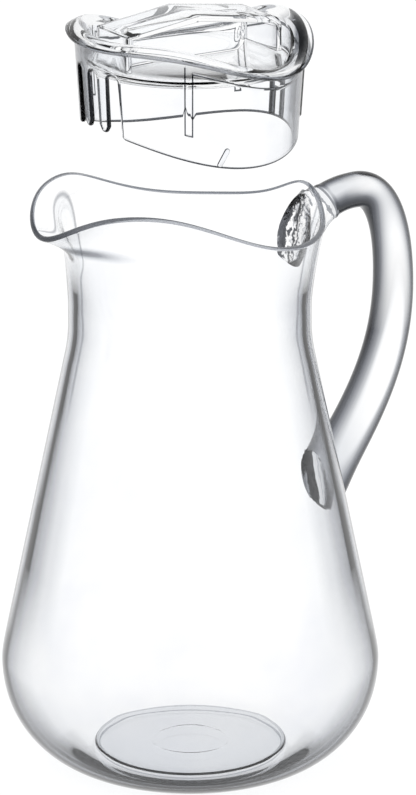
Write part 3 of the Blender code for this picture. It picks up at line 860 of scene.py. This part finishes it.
# The roots are trimmed to the jug's outside, a bond gap away from it
def trimRoots(blank):
    gap, rim = handle["bondGap"], mouth["rimHeight"]
    neck = jugWall["neckRadius"] + gap
    outline = [(0.0, -gap)] + wallOutline(-gap, bowlOutline(-gap, handle["cutterRows"]))
    outline += mouthOutline(neck, rim) + [(neck, rim), (0.0, rim)]
    cutter = turnOutline(outline, handle["cutterSteps"])
    openMouth(cutter)
    temps = []
    for name, solid in (("rod_blank", blank), ("wall_cutter", cutter)):
        mesh = bpy.data.meshes.new(name)
        solid.to_mesh(mesh)
        solid.free()
        temps.append(bpy.data.objects.new(name, mesh))
        bpy.context.scene.collection.objects.link(temps[-1])
    trim = temps[0].modifiers.new("trim", "BOOLEAN")
    trim.operation, trim.solver, trim.object = "DIFFERENCE", "EXACT", temps[1]
    trimmed = temps[0].evaluated_get(bpy.context.evaluated_depsgraph_get()).to_mesh()
    bm = bmesh.new()
    bm.from_mesh(trimmed)
    for temp in temps:
        bpy.data.objects.remove(temp, do_unlink=True)
    bmesh.ops.remove_doubles(bm, verts=bm.verts, dist=0.005)
    bmesh.ops.recalc_face_normals(bm, faces=bm.faces)
    return bm


def makeHandle(materials):
    points = handlePath()
    lengths = [0.0]
    for before, after in zip(points, points[1:]):
        lengths.append(lengths[-1] + (after - before).length)
    bm = trimRoots(sweepRod(points, lengths))
    seam = points[min(range(len(points)), key=lambda i: abs(lengths[i] / lengths[-1] - handle["seamShare"]))]
    stubEnd, seamEnd = handle["seamBand"]
    slot, caps = slotNumbers(rodFinishes), set()
    # the bonds and the stub take finishes with painted shade
    for face in bm.faces:
        middle = face.calc_center_median()
        outward = Vector((middle.x, middle.y, 0)).normalized()
        reach = math.hypot(middle.x, middle.y) - handle["bondGap"]
        fromWall = abs(reach - wallRadius(math.atan2(middle.y, middle.x), middle.z))
        fromSeam = middle.x - seam.x + 0.5 * (middle.z - seam.z)
        upper = middle.z > handle["rootsDivide"]
        if fromWall < handle["bondReach"] and face.normal.dot(outward) < handle["bondFacing"]:
            caps.add(face)
            face.material_index = slot["upper bond" if upper else "lower bond"]
        elif upper and fromSeam < stubEnd:
            face.material_index = slot["root stub"]
        elif upper and fromSeam < seamEnd:
            face.material_index = slot["root seam"]
    # the bond to the wall is wrinkled, by up to a millimetre
    for vert in bm.verts:
        if vert.link_faces and all(face in caps for face in vert.link_faces):
            outward = Vector((vert.co.x, vert.co.y, 0)).normalized()
            height = 0.5 + 0.5 * noise.noise(vert.co / handle["wrinkleSize"])
            vert.co += outward * handle["wrinkle"] * height
    finishPiece("rod_handle", bm, "jug", "handle", materials, 40)


# Heights on the lid are measured from the level of the flange's edge
lid = {
    "flangeRadius": 47.8, "flangeWidth": 9.0, "flangeRise": 2.4, "flangeDrop": 1.3, "lean": 0.8,
    "tilt": 2.8, "saddle": 4.4, "wave": 3.3, "wellDepth": 7.0, "wall": 2.0,
    "wellBend": 2.0, "wellLean": 0.4, "underBend": 1.6, "edgeShare": 0.7,
    "domeRows": 24, "edgeRows": 8, "steps": 192,
}
coverFinishes = {
    # painted shade: the lid greys at grazing angles, and its flange edge is painted as a dark line
    "moulded lid": {
        "fade": [
            (0.0, "FFFFFF"), (0.5, "FAFBFC"), (0.74, "F2F4F6"), (0.85, "E8EAED"), (0.92, "D0D3D7"),
            (1.0, "94979D"),
        ],
        "ior": 1.3, "rippleSize": 16.0,
    },
    "flange edge": {
        **edged, "fade": [(0.0, "94979D"), (0.5, "5A5D63"), (1.0, "0A0B0D")], "gloss": "202020",
    },
}


# The grip's top in the frame gives the level at which the lid is held
def lidLevel():
    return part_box("lid_grip")[1].z / mm - grip["rise"]


def flangeWave(angle):
    wave = -lid["tilt"] * math.cos(angle) + lid["saddle"] * math.cos(2 * angle)
    return wave + lid["wave"] * math.cos(3 * angle)


def makeLidCover(materials):
    edge, floor, wall = lid["flangeRadius"], -lid["wellDepth"], lid["wall"]
    inner, drop = edge - lid["flangeWidth"], lid["flangeDrop"]
    outline = [(0.0, floor), (inner - 4, floor)]
    foot = (inner - lid["wellLean"], floor)
    outline += roundedCorner((inner - 4, floor), foot, (inner, 0.0), lid["wellBend"], 6)
    for step in range(lid["domeRows"] + 1):
        share = step / lid["domeRows"]
        rise = lid["flangeRise"] * math.sin(math.pi * share ** lid["lean"])
        outline.append((inner + (edge - inner) * share, rise))
    for step in range(1, lid["edgeRows"] + 1):
        turn = math.pi / 2 * step / lid["edgeRows"]
        outline.append((edge - drop * (1 - math.cos(turn)), -drop * math.sin(turn)))
    # under the flange a small fillet runs into the outside of the well
    outer, under = inner + wall, floor - wall
    outline += [(outer + 2, -drop), (outer + 0.4, -drop - 0.4), (outer, -drop - 1.2), (outer, floor)]
    outline += roundedCorner((outer, floor), (outer, under), (0.0, under), lid["underBend"], 6)
    outline += [(0.0, under)]
    bm = turnOutline(outline, lid["steps"])
    slot = slotNumbers(coverFinishes)
    # the flange's edge takes the flange edge finish, painted as a dark line
    for face in bm.faces:
        middle = face.calc_center_median()
        if math.hypot(middle.x, middle.y) > edge - lid["edgeShare"] * drop:
            face.material_index = slot["flange edge"]
    for vert in bm.verts:
        share = min(1.0, max(0.0, (vert.co.z - floor) / (-drop - floor)))
        vert.co.z += flangeWave(math.atan2(vert.co.y, vert.co.x)) * share
    bmesh.ops.translate(bm, verts=bm.verts, vec=(0, 0, lidLevel()))
    finishPiece("lid_flange", bm, "lid", "lid_cover", materials)


strainer = {
    "radius": 44.4, "taper": 2.4, "wall": 2.0, "depth": 37.5, "tilt": 3.5, "saddle": 4.5,
    "slots": 3, "slotWidth": 7.6, "slotPitch": math.radians(15.5), "slotTop": 6.5,
    "bandHeight": 3.0, "proud": 0.6, "ribWidth": 2.4, "ribLength": 28.0,
    "bandEnd": math.radians(122.0), "sideRib": math.radians(31.0),
    "lug": math.radians(5.0), "lugTop": 18.0, "joinGap": 0.3, "flank": 0.5, "rounding": 0.9,
    "lugBar": 27.0, "nubFrom": (math.radians(-106.0), -38.8), "nubTo": (math.radians(-102.3), -33.6),
    "nubWidth": 2.2, "prongEnd": 2.1, "slotFit": 0.985, "slotRounding": 0.3,
    "bandFade": 0.35, "bandTaper": 0.02, "ribFade": 0.4, "smoothFrom": 0.93, "steps": 480, "rows": 60,
}
strainerFinishes = {
    # painted shade: the strainer greys towards grazing angles, and its cut edges are painted as dark lines
    "moulded strainer": {
        "fade": [
            (0.0, "FFFFFF"), (0.3, "FAFBFC"), (0.5, "EEF0F2"), (0.62, "C6C9CE"), (0.7, "54575D"),
            (1.0, "1E2024"),
        ],
        "cloud": {"hex": "F4F5F8", "size": 26.0}, "rippleSize": 16.0,
    },
    "cut edge": {**edged, "fade": [(0.0, "202226"), (1.0, "060708")]},
}


def turnBetween(angle, other):
    return math.remainder(angle - other, math.tau)


# How far the skirt's outside stands proud, as a share: the sealing band, the ribs and the lugs with their bar
def skirtRelief(angle, depth):
    spec = strainer
    half, flank, fade = spec["ribWidth"] / 2, spec["flank"], spec["ribFade"]
    raised = bell(max(0.0, depth - spec["bandHeight"]), spec["bandFade"])
    raised *= 1 - smoothStep(spec["bandEnd"], spec["bandEnd"] + spec["bandTaper"], abs(angle))
    for centre in (spec["bandEnd"], spec["sideRib"], spec["lug"]):
        if centre == spec["lug"]:
            run = smoothStep(spec["lugTop"] - fade, spec["lugTop"] + fade, depth)
        else:
            run = 1 - smoothStep(spec["ribLength"] - fade, spec["ribLength"] + fade, depth)
        for mirrored in (centre, -centre):
            away = abs(turnBetween(angle, mirrored)) * spec["radius"]
            raised = max(raised, run * (1 - smoothStep(half, half + flank, away)))
    if abs(angle) < spec["lug"]:
        raised = max(raised, 1 - smoothStep(half, half + flank, abs(depth - spec["lugBar"])))
    return raised


# A slanting nub with round ends stands on the wall's outside
def addNub(bm, level, slot):
    spec = strainer
    foot, head = [Vector((turn * spec["radius"], z)) for turn, z in (spec["nubFrom"], spec["nubTo"])]
    along = (head - foot).normalized()
    across = Vector((-along.y, along.x)) * spec["nubWidth"] / 2
    border = []
    for centre, first in ((head, 0), (foot, 12)):
        for step in range(first, first + 13):
            arm = Matrix.Rotation(math.pi * step / 12, 2)
            border.append(centre - arm @ across)
    layers = []
    for share, stand in ((1.0, 0.05), (1.0, spec["proud"] * 0.6), (0.8, spec["proud"])):
        layer = []
        for point in border:
            middle = foot + along * min((head - foot).length, max(0.0, (point - foot).dot(along)))
            spot = middle.lerp(point, share)
            reach = spec["radius"] + spec["taper"] * spot.y / spec["depth"] + stand
            angle = spot.x / spec["radius"]
            layer.append(bm.verts.new((reach * math.cos(angle), reach * math.sin(angle), level + spot.y)))
        layers.append(layer)
    nubFaces = [bm.faces.new(layers[-1]), bm.faces.new(layers[0])]
    # the nub's sides take the cut edge finish, painted as a dark outline
    for lower, upper in zip(layers, layers[1:]):
        for i in range(len(border)):
            j = (i + 1) % len(border)
            side = bm.faces.new((lower[i], lower[j], upper[j], upper[i]))
            side.material_index = slot
            nubFaces.append(side)
    bmesh.ops.recalc_face_normals(bm, faces=nubFaces)


def makeLidStrainer(materials):
    spec = strainer
    top = -lid["flangeDrop"] - spec["joinGap"]
    rows, wall, rounding = spec["rows"], spec["wall"], spec["rounding"]
    level = lidLevel()
    # the outline is drawn with heights from 0 at the top to -1 at the lower edge, which is rounded over
    outline = [(spec["radius"], -row / rows) for row in range(rows + 1)]
    for across in (0.94, 0.8, 0.6, 0.3, 0.0, -0.3, -0.6, -0.8, -0.94):
        outline.append((spec["radius"] - wall / 2 + wall / 2 * across, -1 - (1 - across ** 4)))
    outline += [(spec["radius"] - wall, -row / rows) for row in range(rows, -1, -1)]
    outline.append(outline[0])
    bm = turnOutline(outline, spec["steps"])
    plain, edge = slotNumbers(strainerFinishes).values()
    # the inner half of the rounding is marked until its faces are in place
    marked = edge + 1
    for face in bm.faces:
        middle = face.calc_center_median()
        if middle.z < -1:
            outer = math.hypot(middle.x, middle.y) > spec["radius"] - wall / 2
            face.material_index = edge if outer else marked
    slots = [math.pi + spec["slotPitch"] * (i - (spec["slots"] - 1) / 2) for i in range(spec["slots"])]
    half, end = spec["slotWidth"] / spec["radius"] / 2, spec["prongEnd"]
    column = math.tau / spec["steps"]
    for vert in bm.verts:
        angle = math.atan2(vert.co.y, vert.co.x)
        inward = spec["radius"] - math.hypot(vert.co.x, vert.co.y)
        over = max(0.0, -1 - vert.co.z) * rounding
        upper = top + flangeWave(angle)
        lower = -spec["depth"] - spec["tilt"] * math.cos(angle)
        lower += spec["saddle"] * math.cos(2 * angle) + rounding
        for centre in slots:
            away = turnBetween(angle, centre)
            if abs(abs(away) - half) < 0.75 * column:
                # the two columns beside a slot's edge close up on it, and round over into the slot
                within = abs(away) < half
                fitted = half * (spec["slotFit"] if within else 1.0)
                angle = centre + math.copysign(fitted - over / spec["radius"], away)
                away = math.copysign(fitted, away)
                over *= spec["slotRounding"]
            share = abs(away) / half
            beside = (abs(away) - half) * spec["radius"]
            if 0 <= beside < end:
                lower += end - math.sqrt(end ** 2 - (end - beside) ** 2)
            if share < 0.999:
                arch = spec["slotWidth"] / 2 * (1 - math.sqrt(1 - share * share))
                lower = rounding - spec["slotTop"] - arch
        height = upper + (upper - lower) * max(-1.0, vert.co.z) - over
        radius = spec["radius"] + spec["taper"] * height / spec["depth"] - inward
        if inward < hair:
            radius += spec["proud"] * skirtRelief(angle, upper - height)
        vert.co = (radius * math.cos(angle), radius * math.sin(angle), level + height)
    bmesh.ops.recalc_face_normals(bm, faces=bm.faces)
    # faces that turn away from the smooth wall take the edge finish, painted as dark lines
    lugFoot = level + top + flangeWave(0) - spec["lugTop"]
    for face in bm.faces:
        middle = face.calc_center_median()
        outward = Vector((middle.x, middle.y, 0)).normalized()
        turned = abs(face.normal.dot(outward)) < spec["smoothFrom"] and middle.z < level + top + 2
        fromLug = abs(abs(math.atan2(middle.y, middle.x)) - spec["lug"]) * spec["radius"]
        if face.material_index == marked:
            heights = [vert.co.z for vert in face.verts]
            face.material_index = edge if max(heights) - min(heights) > 2 else plain
        elif turned or fromLug < spec["ribWidth"] / 2 and middle.z < lugFoot:
            face.material_index = edge
    addNub(bm, level, edge)
    finishPiece("lid_skirt", bm, "lid", "lid_strainer", materials, 50)


grip = {
    "width": 23.0, "rise": 12.0, "spoutRise": 7.5, "handleRise": 7.0, "crease": -2.4, "thick": 2.4,
    "webThick": 3.0, "webStart": -27.0, "webEnd": 24.0, "webCorner": 5.0, "joinGap": 0.3, "edge": 0.3,
    "bead": 4.0, "beadWidth": 1.35,
}
# The grip is of the cover's plastic, with painted dark edges of its own
gripFinishes = {"grip edge": {**edged, "fade": [(0.0, "5A5D63"), (1.0, "141518")]}}


def makeLidGrip(materials):
    spec = grip
    thick, foot = spec["thick"], -lid["wellDepth"] + spec["joinGap"]
    well = lid["flangeRadius"] - lid["flangeWidth"] - lid["wall"] - spec["joinGap"]
    end = math.sqrt(well ** 2 - (spec["width"] / 2) ** 2)
    peak, under = (spec["crease"], spec["rise"]), (spec["crease"], spec["rise"] - thick)
    outline = [(-end, foot), (-end, spec["spoutRise"]), peak]
    outline += roundedCorner(peak, (end, spec["handleRise"]), (end, foot), 2 * thick, 8)
    outline += [(end, foot), (end - thick, foot)]
    outline += roundedCorner((end - thick, foot), (end - thick, spec["handleRise"] - thick), under, thick, 8)
    outline += [under, (thick - end, spec["spoutRise"] - thick / 2), (thick - end, foot)]
    bm = bmesh.new()
    face = bm.faces.new([bm.verts.new((x, -spec["width"] / 2, z)) for x, z in outline])
    grown = bmesh.ops.extrude_face_region(bm, geom=[face])["geom"]
    bmesh.ops.translate(bm, verts=only(bmesh.types.BMVert, grown), vec=(0, spec["width"], 0))
    # the web is pulled down from the strap's underside, between cuts, to a beaded lower edge
    corner = spec["webCorner"]
    places = [spec["webStart"]]
    places += [spec["webEnd"] - corner * (1 - math.sin(math.pi / 2 * step / 6)) for step in range(7)]
    cuts = [((0, side * spec["webThick"] / 2, 0), (0, 1, 0)) for side in (1, -1)]
    cuts += [((place, 0, 0), (1, 0, 0)) for place in places]
    for place, normal in cuts:
        geom = bm.verts[:] + bm.edges[:] + bm.faces[:]
        bmesh.ops.bisect_plane(bm, geom=geom, dist=0.0005, plane_co=place, plane_no=normal)
    bmesh.ops.recalc_face_normals(bm, faces=bm.faces)
    strip = []
    for face in bm.faces:
        middle = face.calc_center_median()
        inside = spec["webStart"] < middle.x < spec["webEnd"] and abs(middle.y) < spec["webThick"] / 2
        if inside and face.normal.z < -0.5 and middle.z > 0:
            strip.append(face)
    bead, beadWidth = spec["bead"], spec["beadWidth"]
    for above, width in ((bead, 1.0), (bead * 0.55, beadWidth), (0.0, beadWidth)):
        grown = bmesh.ops.extrude_face_region(bm, geom=strip)["geom"]
        bmesh.ops.delete(bm, geom=strip, context="FACES")
        strip = only(bmesh.types.BMFace, grown)
        for vert in only(bmesh.types.BMVert, grown):
            past = min(corner, max(0.0, vert.co.x - spec["webEnd"] + corner))
            vert.co.z = foot + above + corner - math.sqrt(corner ** 2 - past ** 2)
            vert.co.y = math.copysign(spec["webThick"] / 2 * width, vert.co.y)
    bmesh.ops.recalc_face_normals(bm, faces=bm.faces)
    sharpEdges = [e for e in bm.edges if e.is_manifold and e.calc_face_angle() > math.radians(35)]
    rounded = bmesh.ops.bevel(
        bm, geom=sharpEdges, offset=spec["edge"], offset_type="OFFSET", affect="EDGES",
        segments=3, profile=0.5, material=-1, clamp_overlap=True,
    )["faces"]
    # the rounded edges take the grip edge finish, painted as dark lines
    for face in rounded:
        face.material_index = 1  # after the cover's plastic
    bmesh.ops.translate(bm, verts=bm.verts, vec=(0, 0, lidLevel()))
    finishPiece("lid_bridge_grip", bm, "lid", "lid_grip", materials, 30)


makeCamera()
makeStudio()
makeJugBody(plastics(jugFinishes))
makeHandle(plastics(rodFinishes))
coverPlastics = plastics(coverFinishes)
makeLidCover(coverPlastics)
makeLidStrainer(plastics(strainerFinishes))
makeLidGrip(coverPlastics[:1] + plastics(gripFinishes))
